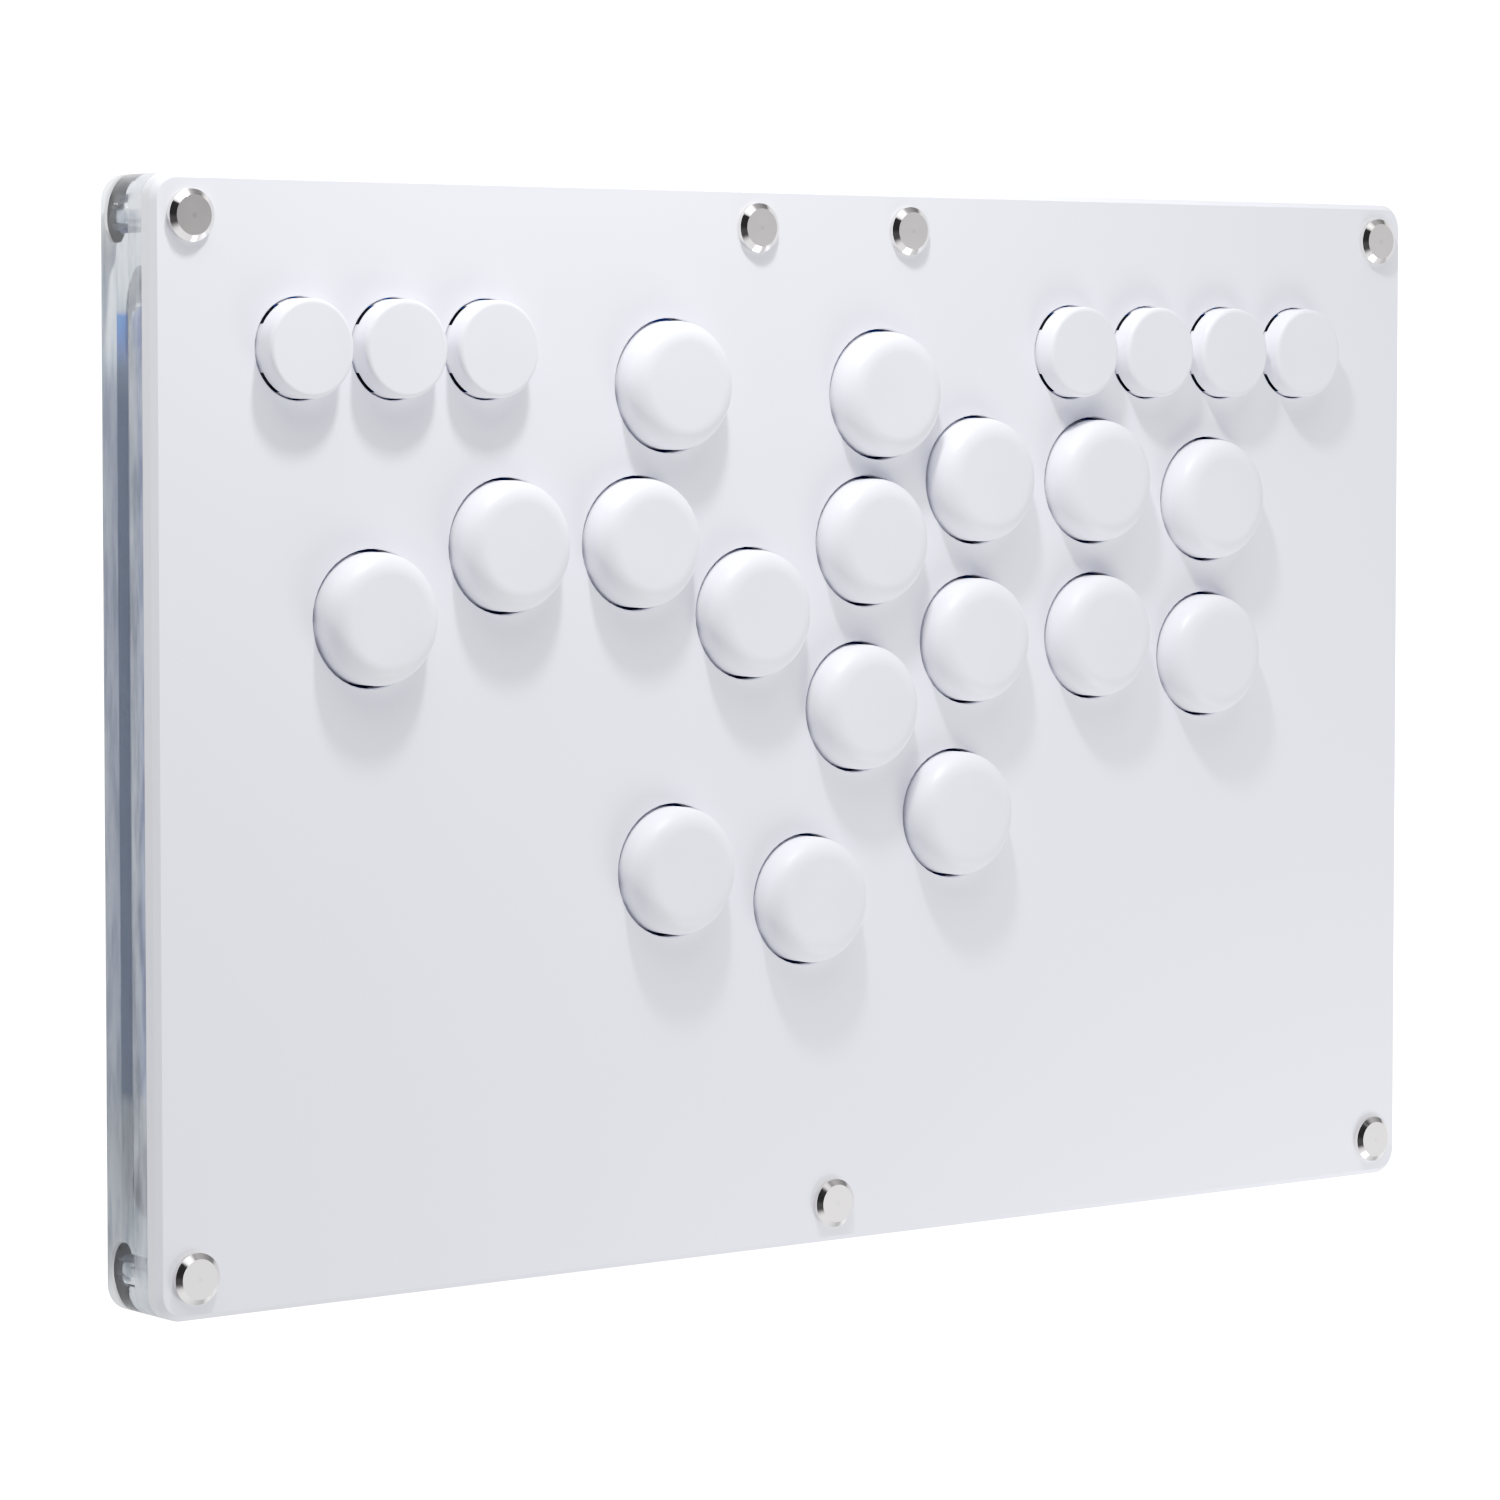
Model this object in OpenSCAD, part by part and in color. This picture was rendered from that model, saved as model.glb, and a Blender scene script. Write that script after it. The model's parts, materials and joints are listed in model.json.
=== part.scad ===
// All-button arcade controller: a white top panel on a clear acrylic sandwich, with 24 round push
// buttons over low-profile key switches on one circuit board, held by seven binding posts.
// It lies flat on a table: +X is the player's right, +Y is away from the player, +Z is up.
// The origin is on the table, under the middle of the panel.

/* [Panel] */
// Width, left to right
panel_w = 300; // [290:1:340]
// Depth, front to back
panel_d = 200; // [190:1:230]
// Radius of the four corners
corner_r = 5; // [2:0.5:8]
// Bevel round the upper edge of the white top panel
panel_bevel = 1; // [0.4:0.1:1.5]

/* [Layers] */
// Thickness of the white top panel
panel_t = 3.5; // [3:0.5:4]
// Thickness of the clear upper frame
upper_t = 4.5; // [4.5:0.1:6]
// Thickness of the clear lower frame
lower_t = 4; // [3.2:0.1:5]
// Thickness of the clear bottom plate
bottom_t = 5; // [3:0.5:6]
// Height of the rubber feet
foot_h = 3; // [2:0.5:6]
// Diameter of the rubber feet
foot_d = 12.7; // [8:0.1:16]

/* [Large buttons] */
// Diameter of the holes for the large buttons
large_hole_d = 25; // [24:0.1:30]
// Diameter of a large cap
large_cap_d = 23.7; // [23:0.1:29]
// Height of a large cap above the panel
large_rise = 6; // [4:0.1:8]
// Rounding of a large cap's shoulder
large_round = 3.8; // [1:0.1:4]

/* [Small buttons] */
// Diameter of the holes for the small buttons
small_hole_d = 18.4; // [18:0.1:22]
// Diameter of a small cap
small_cap_d = 17.6; // [17:0.1:21]
// Height of a small cap above the panel
small_rise = 4.5; // [3:0.1:6]
// Side of the square pocket under a small cap, whose corners break out through the skirt
small_pocket = 15.4; // [15:0.1:16]
// Distance between neighbouring small buttons
small_pitch = 20; // [19:0.1:24]

/* [Switches] */
// Travel of every button
travel = 3; // [2:0.1:3]
// Height of a switch's stem above the circuit board
stem_top = 9; // [8.5:0.1:9.5]
// Height of a switch's housing above the circuit board
housing_h = 5; // [4.8:0.1:5.2]

/* [Circuit board] */
// Width of the board
board_w = 289; // [280:1:290]
// Depth of the board, without its tongue for the socket
board_d = 143; // [140:1:146]
// Distance from the panel's back edge to the board's back edge
board_back_gap = 21; // [18:0.5:24]
// Thickness of the board
board_t = 1.6; // [1:0.2:1.6]

/* [Binding posts] */
// Distance of the post centres from the panel's edges
post_inset = 7.5; // [6:0.5:10]
// Half the distance between the two posts beside the socket
socket_post_x = 18.3; // [14:0.1:30]
// Diameter of the flat round heads
head_d = 9.2; // [8:0.1:12]
// Height of the flat round heads
head_h = 1.7; // [1:0.1:2]

/* [Hidden] */
$fn = 64;

// The middle of each large button, numbered from the left hand to the right, then the thumbs.
large_at = [
    [-104.9, 21.7], [-75.8, 34.1], [-46.2, 34.1], [-20.1, 20.5], [-38.7, 63.1],
    [11.7, 61.4], [35.4, 44.9], [65.5, 44.4], [96, 40.4],
    [8.4, 33.5], [34, 14], [65.6, 13.9], [95.1, 9.4],
    [6, 2], [29.8, -19.4], [-38.1, -26.8], [-6.5, -34]
];
// The small buttons stand in one row: three on the left and four on the right.
small_row_y = 69.6;
small_left_x = -120;
small_right_x = 59.6;
small_at = concat(
    [for (i = [0 : 2]) [small_left_x + i * small_pitch, small_row_y]],
    [for (i = [0 : 3]) [small_right_x + i * small_pitch, small_row_y]]
);
button_at = concat(large_at, small_at);

post_x = panel_w / 2 - post_inset;
post_y = panel_d / 2 - post_inset;
post_at = [
    [-post_x, post_y], [-socket_post_x, post_y], [socket_post_x, post_y], [post_x, post_y],
    [-post_x, -post_y], [0, -post_y], [post_x, -post_y]
];
foot_inset = 22;

// Heights of the faces between the layers
z_bottom = foot_h;
z_lower = z_bottom + bottom_t;
z_upper = z_lower + lower_t;
z_panel = z_upper + upper_t;
z_top = z_panel + panel_t;

// Where a cut has to pass a face
cut = 0.5;
// A fit that slides together by hand
fit_gap = 0.3;

// Circuit board
board_r = 4;
board_back = panel_d / 2 - board_back_gap;
board_y = board_back - board_d / 2;
ledge = 1.5;
tongue_w = 17;
tongue_end = panel_d / 2 - 3;

// Upper frame's window: it holds the board's sides and front edge down, and is open behind the board
hold_side = 0.7;
hold_front = 1;
window_back = 82;
socket_slot_w = 14;

// Buttons
cap_wall = 1.05;
cap_top_t = 1.5;
skirt_z = z_panel + 1;
stem_z = z_upper + stem_top;
prong = [1.2, 3, 3];
prong_x = 2.85;
boss = [9.6, 4.6];
boss_r = 0.8;
hole_bevel = 0.2;
// How far the pocket under a small cap shows above the panel, and the deeper recess for its stem
small_slit = 0.3;
stem_recess = [10.6, 5.4];

// Switches, from the board up
base_w = 13.8;
base_h = 2.2;
flange_w = 14.5;
flange_h = 1;
cover_w = 13.4;
cover_corner = 1.6;
cover_roof = 0.5;
floor_t = 0.3;
seam = 0.05;
chamber = [11.6, 9];
stem_size = [10, 4.8];
stem_foot = [11, 7, 0.5];
spring_d = 3.6;
spring_wire = 0.3;
spring_bore = 4;
spring_h = 7.5;
peg_d = 2.4;
centre_post_d = 3.2;
contact = [0.9, 0.3];
contact_x = 2.6;
contact_y = 4.1;
contact_up = 2.6;
contact_down = 3;

// Binding posts
barrel_d = 5.5;
barrel_bore_d = 4.2;
shank_d = 4;
head_rim = 0.95;
head_bevel = 1.05;
driver_slot = [1.2, 0.7];

// USB socket
socket_size = [8.94, 7.35, 3.16];
socket_r = 1.2;
socket_wall = 0.3;
socket_face = panel_d / 2 - 0.3;
socket_tongue = [6.7, 4.6, 0.7];

panel_white = [0.9, 0.9, 0.93];
cap_white = [0.94, 0.94, 0.95];
clear_acrylic = [0.86, 0.89, 0.9, 0.35];
board_blue = [0.1, 0.28, 0.68];
housing_grey = [0.16, 0.16, 0.18];
stem_white = [0.9, 0.9, 0.88];
nickel = [0.8, 0.78, 0.76];
chip_black = [0.08, 0.08, 0.09];
rubber_black = [0.06, 0.06, 0.06];

function numbered(name, i) = str(name, i < 10 ? "0" : "", i);

// ---- shapes that several parts use ----

module rounded_rect(w, d, r) {
    square([w - 2 * r, d], center = true);
    square([w, d - 2 * r], center = true);
    for (x = [-1, 1], y = [-1, 1])
        translate([x * (w / 2 - r), y * (d / 2 - r)]) circle(r);
}

// A flat layer of the sandwich, from height z, with the holes for the binding posts
module layer(z, t) {
    translate([0, 0, z]) linear_extrude(t) difference() {
        rounded_rect(panel_w, panel_d, corner_r);
        for (p = post_at) translate(p) circle(d = barrel_d + fit_gap);
    }
}

// A straight bar whose two long sides slope in by c over its height c
module bevel_bar(length, width, c) {
    rotate([90, 0, 90]) translate([0, 0, -length / 2]) linear_extrude(length)
        polygon([[-width / 2, 0], [width / 2, 0], [width / 2 - c, c], [c - width / 2, c]]);
}

// The upper edge of a rounded rectangle, bevelled all the way round
module bevel_slab(w, d, r, c) {
    bevel_bar(w - 2 * r, d, c);
    rotate([0, 0, 90]) bevel_bar(d - 2 * r, w, c);
    for (x = [-1, 1], y = [-1, 1])
        translate([x * (w / 2 - r), y * (d / 2 - r), 0]) cylinder(h = c, r1 = r, r2 = r - c);
}

// A button hole through the top panel, its upper edge just broken
module button_hole(d) {
    translate([0, 0, z_panel - cut]) cylinder(h = panel_t + 2 * cut, d = d);
    translate([0, 0, z_top - hole_bevel])
        cylinder(h = 2 * hole_bevel, d1 = d, d2 = d + 4 * hole_bevel);
}

// Half the section of a round body with a rounded shoulder
module shoulder_profile(r, h, round_r) {
    square([r, h - round_r]);
    square([r - round_r, h]);
    translate([r - round_r, h - round_r]) circle(round_r);
}

// ---- the sandwich ----

module top_panel() {
    color(panel_white) difference() {
        union() {
            translate([0, 0, z_panel]) linear_extrude(panel_t - panel_bevel)
                rounded_rect(panel_w, panel_d, corner_r);
            translate([0, 0, z_top - panel_bevel])
                bevel_slab(panel_w, panel_d, corner_r, panel_bevel);
        }
        for (p = large_at) translate(p) button_hole(large_hole_d);
        for (p = small_at) translate(p) button_hole(small_hole_d);
        for (p = post_at)
            translate([p[0], p[1], z_panel - cut])
                cylinder(h = panel_t + 2 * cut, d = barrel_d + fit_gap);
    }
}

module upper_frame() {
    window_w = board_w - 2 * hold_side;
    window_front = board_back - board_d + hold_front;
    window_d = window_back - window_front;
    color(clear_acrylic) difference() {
        layer(z_upper, upper_t);
        translate([0, window_front + window_d / 2, z_upper - cut])
            linear_extrude(upper_t + 2 * cut) rounded_rect(window_w, window_d, board_r);
        translate([-socket_slot_w / 2, window_back - 1, z_upper - cut])
            cube([socket_slot_w, panel_d, upper_t + 2 * cut]);
    }
}

// The board's outline grown by g on every side
module board_outline(g) {
    translate([0, board_y]) rounded_rect(board_w + 2 * g, board_d + 2 * g, board_r + g);
    translate([-tongue_w / 2 - g, board_back - 1])
        square([tongue_w + 2 * g, tongue_end - board_back + 1 + g]);
}

module lower_frame() {
    color(clear_acrylic) difference() {
        layer(z_lower, lower_t);
        translate([0, 0, z_lower - cut]) linear_extrude(lower_t + 2 * cut) board_outline(-ledge);
        translate([0, 0, z_upper - board_t]) linear_extrude(board_t + cut) board_outline(fit_gap);
    }
}

module bottom_plate() {
    color(clear_acrylic) layer(z_bottom, bottom_t);
}

module rubber_feet() {
    color(rubber_black)
        for (x = [-1, 1], y = [-1, 1])
            translate([x * (panel_w / 2 - foot_inset), y * (panel_d / 2 - foot_inset), foot_h])
                rotate([180, 0, 0]) rotate_extrude() shoulder_profile(foot_d / 2, foot_h, 1);
}

// A flat round head with a shallow bevel round its face, standing on z = 0
module post_head() {
    cylinder(h = head_rim, d = head_d);
    translate([0, 0, head_rim])
        cylinder(h = head_h - head_rim, d1 = head_d, d2 = head_d - 2 * head_bevel);
}

// A blind barrel with its head on the panel, and the slotted screw that closes it from below
module binding_post() {
    barrel_end = z_bottom + 1;
    bore_end = z_panel;
    difference() {
        union() {
            translate([0, 0, z_top]) post_head();
            translate([0, 0, barrel_end]) cylinder(h = z_top - barrel_end, d = barrel_d);
        }
        translate([0, 0, barrel_end - cut])
            cylinder(h = bore_end - barrel_end + cut, d = barrel_bore_d);
    }
    difference() {
        union() {
            translate([0, 0, z_bottom]) rotate([180, 0, 0]) post_head();
            translate([0, 0, z_bottom]) cylinder(h = bore_end - z_bottom - 2, d = shank_d);
        }
        translate([-head_d / 2, -driver_slot[0] / 2, z_bottom - head_h - cut])
            cube([head_d, driver_slot[0], driver_slot[1] + cut]);
    }
}

module binding_posts() {
    color(nickel)
        for (p = post_at) translate(p) binding_post();
}

// ---- the circuit board and what is soldered to it ----

module circuit_board() {
    post_hole_d = centre_post_d + fit_gap;
    lead_hole_d = contact[0] + fit_gap;
    color(board_blue) translate([0, 0, z_upper - board_t]) linear_extrude(board_t) difference() {
        board_outline(0);
        for (p = button_at) translate(p) {
            circle(d = post_hole_d);
            for (x = [-1, 1]) translate([x * contact_x, -contact_y]) circle(d = lead_hole_d);
        }
    }
}

module chip(x, y, size) {
    translate([x - size[0] / 2, y - size[1] / 2, z_upper]) cube(size);
}

// The controller chip with its memory and crystal stand between two buttons near the socket.
module board_chips() {
    chip_x = -13.5;
    chip_y = 62;
    color(chip_black) {
        chip(chip_x, chip_y, [7, 7, 0.9]);
        chip(chip_x, chip_y + 10, [5.2, 4, 1.5]);
        chip(chip_x - 7, chip_y, [2.5, 3.2, 0.8]);
        chip(chip_x + 8, chip_y + 12, [2.9, 1.6, 1.1]);
        chip(0, board_back + 6, [3, 1.8, 1.1]);
        for (i = [0 : 4]) chip(chip_x - 4 + 2 * i, chip_y - 5.5, [0.8, 1.6, 0.8]);
        for (x = [-1, 1]) chip(5 * x, board_back + 6, [0.8, 1.6, 0.8]);
    }
}

// A shell that is open towards the back of the panel, with the contact tongue inside it
module usb_socket() {
    socket_z = z_upper + socket_size[2] / 2;
    color(nickel) translate([0, socket_face, socket_z]) rotate([90, 0, 0]) {
        difference() {
            linear_extrude(socket_size[1]) rounded_rect(socket_size[0], socket_size[2], socket_r);
            translate([0, 0, -cut]) linear_extrude(socket_size[1] - 2 * socket_wall + cut)
                rounded_rect(
                    socket_size[0] - 2 * socket_wall,
                    socket_size[2] - 2 * socket_wall,
                    socket_r - socket_wall
                );
        }
        translate([0, 0, socket_size[1] - socket_wall * 2 - socket_tongue[1] / 2])
            cube([socket_tongue[0], socket_tongue[2], socket_tongue[1]], center = true);
    }
}

// ---- switches ----

module box_up(z, size) {
    translate([-size[0] / 2, -size[1] / 2, z]) cube(size);
}

// The square cover with its corners cut off
module cover_outline() {
    intersection() {
        square(cover_w, center = true);
        rotate(45) square((cover_w - cover_corner) * sqrt(2), center = true);
    }
}

// The slots that the two leads pass through on their way down to the board
module lead_slots(g) {
    for (x = [-1, 1])
        translate([x * contact_x, -contact_y]) square(contact + [g, g], center = true);
}

module switch_base() {
    difference() {
        union() {
            box_up(0, [base_w, base_w, base_h]);
            box_up(base_h, [flange_w, flange_w, flange_h]);
            translate([0, 0, -board_t - 0.2]) cylinder(h = board_t + 0.4, d = centre_post_d);
        }
        box_up(floor_t, [chamber[0], chamber[1], base_h + flange_h]);
        translate([0, 0, -cut]) linear_extrude(2 * cut) lead_slots(0.1);
    }
    cylinder(h = floor_t + 1.9, d = peg_d);
}

module switch_cover() {
    cover_z = base_h + flange_h + seam;
    translate([0, 0, cover_z]) difference() {
        linear_extrude(housing_h - cover_z) cover_outline();
        box_up(-cut, [chamber[0], chamber[1], housing_h - cover_z - cover_roof + cut]);
        box_up(0, [stem_size[0] + 2 * fit_gap, stem_size[1] + 2 * fit_gap, housing_h]);
    }
}

module switch_housings() {
    color(housing_grey)
        for (p = button_at) translate([p[0], p[1], z_upper]) {
            switch_base();
            switch_cover();
        }
}

// Two flat leads, soldered under the board, that stand up inside each switch
module switch_contacts() {
    color(nickel)
        for (p = button_at) translate([p[0], p[1], z_upper - contact_down])
            linear_extrude(contact_down + contact_up) lead_slots(0);
}

// Each coil is a thin tube of the spring's own outer diameter and height.
module switch_springs() {
    color(nickel)
        for (p = button_at) translate([p[0], p[1], z_upper + floor_t])
            linear_extrude(spring_h) difference() {
                circle(d = spring_d);
                circle(d = spring_d - 2 * spring_wire);
            }
}

// ---- buttons ----

// The two tongues that a cap pushes into its stem
module prongs(p) {
    for (x = [-1, 1])
        translate([p[0] + x * prong_x, p[1], stem_z - prong[2]])
            translate([-prong[0] / 2, -prong[1] / 2, 0]) cube(prong + [0, 0, 1]);
}

module large_cap(p) {
    r = large_cap_d / 2;
    height = z_top + large_rise - skirt_z;
    color(cap_white) {
        difference() {
            translate([p[0], p[1], skirt_z]) rotate_extrude()
                shoulder_profile(r, height, large_round);
            translate([p[0], p[1], skirt_z - cut]) rotate_extrude()
                shoulder_profile(r - cap_wall, height - cap_top_t + cut, large_round - cap_wall);
        }
        translate([p[0], p[1], stem_z]) linear_extrude(z_top + large_rise - stem_z - 1)
            rounded_rect(boss[0], boss[1], boss_r);
        prongs(p);
    }
}

module small_cap(p) {
    edge = 0.9;
    height = z_top + small_rise - skirt_z;
    color(cap_white) {
        difference() {
            translate([p[0], p[1], skirt_z]) rotate_extrude()
                shoulder_profile(small_cap_d / 2, height, edge);
            translate([p[0], p[1], 0]) {
                box_up(skirt_z - cut, [small_pocket, small_pocket, z_top + small_slit - skirt_z + cut]);
                box_up(skirt_z, [stem_recess[0], stem_recess[1], stem_z - skirt_z]);
            }
        }
        prongs(p);
    }
}

// The sliding stem: a block with a slot for each prong above, and a foot that keeps it in the housing
module switch_stem(p) {
    foot_z = z_upper + housing_h - cover_roof - fit_gap - stem_foot[2];
    slot_gap = 0.1;
    color(stem_white) translate([p[0], p[1], 0]) difference() {
        union() {
            translate([0, 0, foot_z]) linear_extrude(stem_z - foot_z)
                rounded_rect(stem_size[0], stem_size[1], 0.5);
            box_up(foot_z, stem_foot);
        }
        for (x = [-1, 1]) translate([x * prong_x, 0, 0])
            box_up(stem_z - prong[2] - 0.2, prong + [slot_gap, slot_gap, 1]);
        translate([0, 0, foot_z - cut])
            cylinder(h = floor_t + spring_h + z_upper - foot_z + cut, d = spring_bore);
    }
}

top_panel();
upper_frame();
lower_frame();
bottom_plate();
rubber_feet();
binding_posts();
circuit_board();
board_chips();
usb_socket();
switch_housings();
switch_contacts();
switch_springs();
for (i = [1 : len(large_at)]) {
    large_cap(large_at[i - 1]);
    switch_stem(large_at[i - 1]);
}
for (i = [1 : len(small_at)]) {
    small_cap(small_at[i - 1]);
    switch_stem(small_at[i - 1]);
}
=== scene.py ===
import json
import math

import bmesh
import bpy
from mathutils import Matrix, Vector

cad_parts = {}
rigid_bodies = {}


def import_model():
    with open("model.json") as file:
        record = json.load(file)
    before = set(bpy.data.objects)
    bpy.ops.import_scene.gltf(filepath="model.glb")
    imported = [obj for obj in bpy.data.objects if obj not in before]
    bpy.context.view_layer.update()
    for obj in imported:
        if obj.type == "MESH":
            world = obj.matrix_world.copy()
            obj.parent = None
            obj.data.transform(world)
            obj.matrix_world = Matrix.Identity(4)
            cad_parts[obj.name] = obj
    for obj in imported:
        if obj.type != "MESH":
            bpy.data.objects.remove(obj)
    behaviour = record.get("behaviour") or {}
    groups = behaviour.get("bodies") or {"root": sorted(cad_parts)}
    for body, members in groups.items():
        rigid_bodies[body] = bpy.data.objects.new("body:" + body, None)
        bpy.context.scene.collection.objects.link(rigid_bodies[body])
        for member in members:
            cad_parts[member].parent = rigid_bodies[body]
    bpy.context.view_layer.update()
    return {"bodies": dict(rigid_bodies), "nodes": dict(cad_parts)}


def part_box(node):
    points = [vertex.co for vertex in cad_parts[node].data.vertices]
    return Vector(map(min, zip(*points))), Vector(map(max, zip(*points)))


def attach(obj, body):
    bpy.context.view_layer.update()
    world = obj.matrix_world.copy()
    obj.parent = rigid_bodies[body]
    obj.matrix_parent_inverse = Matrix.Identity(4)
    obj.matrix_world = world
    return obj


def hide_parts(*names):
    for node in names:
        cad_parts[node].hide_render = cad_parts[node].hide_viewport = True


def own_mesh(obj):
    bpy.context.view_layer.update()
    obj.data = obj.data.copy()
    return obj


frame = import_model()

NODES = frame["nodes"]
SCENE = bpy.context.scene
MM = 0.001

BOARD_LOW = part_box("circuit_board")[0]
SPRING_LOW, SPRING_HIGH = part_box("switch_springs")
POSTS_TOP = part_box("binding_posts")[1].z
BUTTONS = sorted(body for body in frame["bodies"] if "_button_" in body)

# The back edge of the board's wide part; only its tongue for the socket reaches past it.
BOARD_BACK = 79 * MM
# The underside and the top of the layer that the board lies in.
LAYER_LOW, LAYER_HIGH = 8 * MM, 12 * MM
# Where a switch's leads are: sideways of its stem, and towards the player from it.
LEAD_SIDE, LEAD_FRONT = 2.6 * MM, 4.1 * MM


def button_centre(body):
    """Where a button stands: the middle of its switch stem."""
    low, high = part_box(body.replace("_button_", "_stem_"))
    return (low + high) / 2


# ------------------------------------------------------------ camera, light and floor

def look(place, aim, up):
    """A placing at one point that looks at another."""
    forward = (Vector(aim) - Vector(place)).normalized()
    right = forward.cross(Vector(up)).normalized()
    turn = Matrix((right, right.cross(forward), -forward)).transposed()
    return Matrix.Translation(Vector(place)) @ turn.to_4x4()


def place_camera():
    """A long lens above the panel's left side, with the back edge at the top of the picture."""
    camera = bpy.data.objects.new("camera", bpy.data.cameras.new("camera"))
    lens = camera.data
    lens.sensor_width = 36
    lens.lens = 129.31
    lens.shift_y = -0.05
    lens.clip_start = 0.02
    lens.clip_end = 30
    place = Vector((-638.37, 63.47, 816.55)) * MM
    aim = Vector((-19.91, 8.89, 20.0)) * MM
    camera.matrix_world = look(place, aim, up=(0, 1, 0))
    SCENE.collection.objects.link(camera)
    SCENE.camera = camera


def disk_lamp(name, place, aim, up, size, power, colour):
    """A round lamp, not itself seen by the camera."""
    lamp = bpy.data.lights.new(name, "AREA")
    lamp.shape = "DISK"
    lamp.size = size
    lamp.energy = power
    lamp.color = colour
    holder = bpy.data.objects.new(name, lamp)
    holder.matrix_world = look(place, aim, up)
    holder.visible_camera = False
    SCENE.collection.objects.link(holder)


def key_lamp():
    """A small lamp low behind the back edge: each button throws its shadow towards the player."""
    disk_lamp(
        "key_lamp", place=(-0.0913, 0.334, 0.1324), aim=(-0.01, 0.02, 0.02), up=(0, 0, 1),
        size=0.034, power=1.95, colour=(0.985, 0.99, 1),
    )


def fill_lamp():
    """A broad soft lamp over the player's right hand, where the key lamp falls off."""
    disk_lamp(
        "fill_lamp", place=(0.22, -0.31, 0.27), aim=(0.05, -0.02, 0.02), up=(0, 1, 0),
        size=0.24, power=1.5, colour=(0.965, 0.98, 1),
    )


def studio_world():
    """Soft light, stronger from the player's side, dark overhead and with a low glow behind."""
    world = bpy.data.worlds.new("studio")
    world.use_nodes = True
    tree = world.node_tree
    background = tree.nodes["Background"]
    direction = node(tree, "ShaderNodeTexCoord").outputs["Generated"]
    split = node(tree, "ShaderNodeSeparateXYZ", {"Vector": direction})
    overhead = nearness(tree, direction, (-0.3, 0.25, 0.92))
    behind = nearness(tree, direction, (-0.18, 0.91, 0.36))
    from_player = spread(tree, split.outputs["Y"], -0.16, 0.12, 1.62, 0.56)
    height = spread(tree, split.outputs["Z"], 0.05, 0.5, 0.42, 1.0)
    dark = spread(tree, overhead, 0.5, 0.8, 1.0, 0.05)
    glow = spread(tree, behind, 0.87, 0.97, 0.0, 5.6)
    strength = maths(tree, "MULTIPLY", maths(tree, "MULTIPLY", from_player, height), dark)
    tree.links.new(maths(tree, "ADD", strength, glow), background.inputs["Strength"])
    background.inputs["Color"].default_value = (0.94, 0.955, 1, 1)
    SCENE.world = world


def nearness(tree, direction, centre):
    """The cosine of the angle between a direction and a fixed one."""
    return node(
        tree, "ShaderNodeVectorMath", {0: direction, 1: Vector(centre).normalized()},
        operation="DOT_PRODUCT",
    ).outputs["Value"]


def film_response():
    """Bright tones are drawn together and reach white gently, as a camera renders them."""
    settings = SCENE.view_settings
    settings.view_transform = "Standard"
    settings.use_curve_mapping = True
    mapping = settings.curve_mapping
    brightest = 4.0
    mapping.white_level = (brightest, brightest, brightest)
    curve = mapping.curves[3]
    curve.points[0].location = (0, 0)
    curve.points[-1].location = (1, 1)
    tones = ((0.3, 0.3), (0.5, 0.46), (0.8, 0.62), (1.2, 0.735), (1.6, 0.84), (2.0, 0.93), (2.4, 1.0))
    for scene_light, shown in tones:
        curve.points.new(scene_light / brightest, shown)
    for point in curve.points:
        point.handle_type = "AUTO_CLAMPED"
    mapping.update()


def lay_floor():
    """A white floor, which shows as pure white but throws little light on the controller."""
    mesh = bpy.data.meshes.new("floor")
    half, cast, shown = 8, 0.15, 2.6
    mesh.from_pydata(
        [(-half, -half, 0), (half, -half, 0), (half, half, 0), (-half, half, 0)], [], [(0, 1, 2, 3)]
    )
    floor = bpy.data.objects.new("floor", mesh)
    SCENE.collection.objects.link(floor)
    paint, tree, shader = new_material("floor_white")
    shader.inputs["Base Color"].default_value = (0.93, 0.93, 0.93, 1)
    shader.inputs["Roughness"].default_value = 0.9
    shader.inputs["Emission Color"].default_value = (1, 1, 1, 1)
    seen = node(tree, "ShaderNodeLightPath").outputs["Is Camera Ray"]
    tree.links.new(spread(tree, seen, 0.0, 1.0, cast, shown), shader.inputs["Emission Strength"])
    mesh.materials.append(paint)


# ------------------------------------------------------------ small helpers for node trees

def node(tree, kind, inputs=None, **settings):
    """One node with its settings; an input is either a value or another node's output."""
    made = tree.nodes.new(kind)
    for key, value in settings.items():
        setattr(made, key, value)
    for key, value in (inputs or {}).items():
        if isinstance(value, bpy.types.NodeSocket):
            tree.links.new(value, made.inputs[key])
        else:
            made.inputs[key].default_value = value
    return made


def maths(tree, operation, a, b=0.0):
    return node(tree, "ShaderNodeMath", {0: a, 1: b}, operation=operation).outputs[0]


def spread(tree, value, low, high, at_low, at_high):
    """at_low up to the low value, at_high from the high value on, and a smooth step between."""
    return node(
        tree, "ShaderNodeMapRange",
        {"Value": value, "From Min": low, "From Max": high, "To Min": at_low, "To Max": at_high},
        interpolation_type="SMOOTHSTEP",
    ).outputs["Result"]


def stretched(tree, position, scale, turn=0.0):
    """A position turned about the upright axis and then scaled, for a texture that is not even."""
    return node(
        tree, "ShaderNodeMapping", {"Vector": position, "Rotation": (0, 0, turn), "Scale": scale}
    ).outputs["Vector"]


def blend_colour(tree, share, first, second):
    """first where the share is 0 and second where it is 1; each is a colour or a node's output."""
    made = node(tree, "ShaderNodeMix", data_type="RGBA")
    sockets = made.inputs["Factor"], made.inputs[6], made.inputs[7]
    for socket, value in zip(sockets, (share, first, second)):
        if isinstance(value, bpy.types.NodeSocket):
            tree.links.new(value, socket)
        else:
            socket.default_value = value if isinstance(value, float) else (*value, 1)
    return made.outputs[2]


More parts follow.
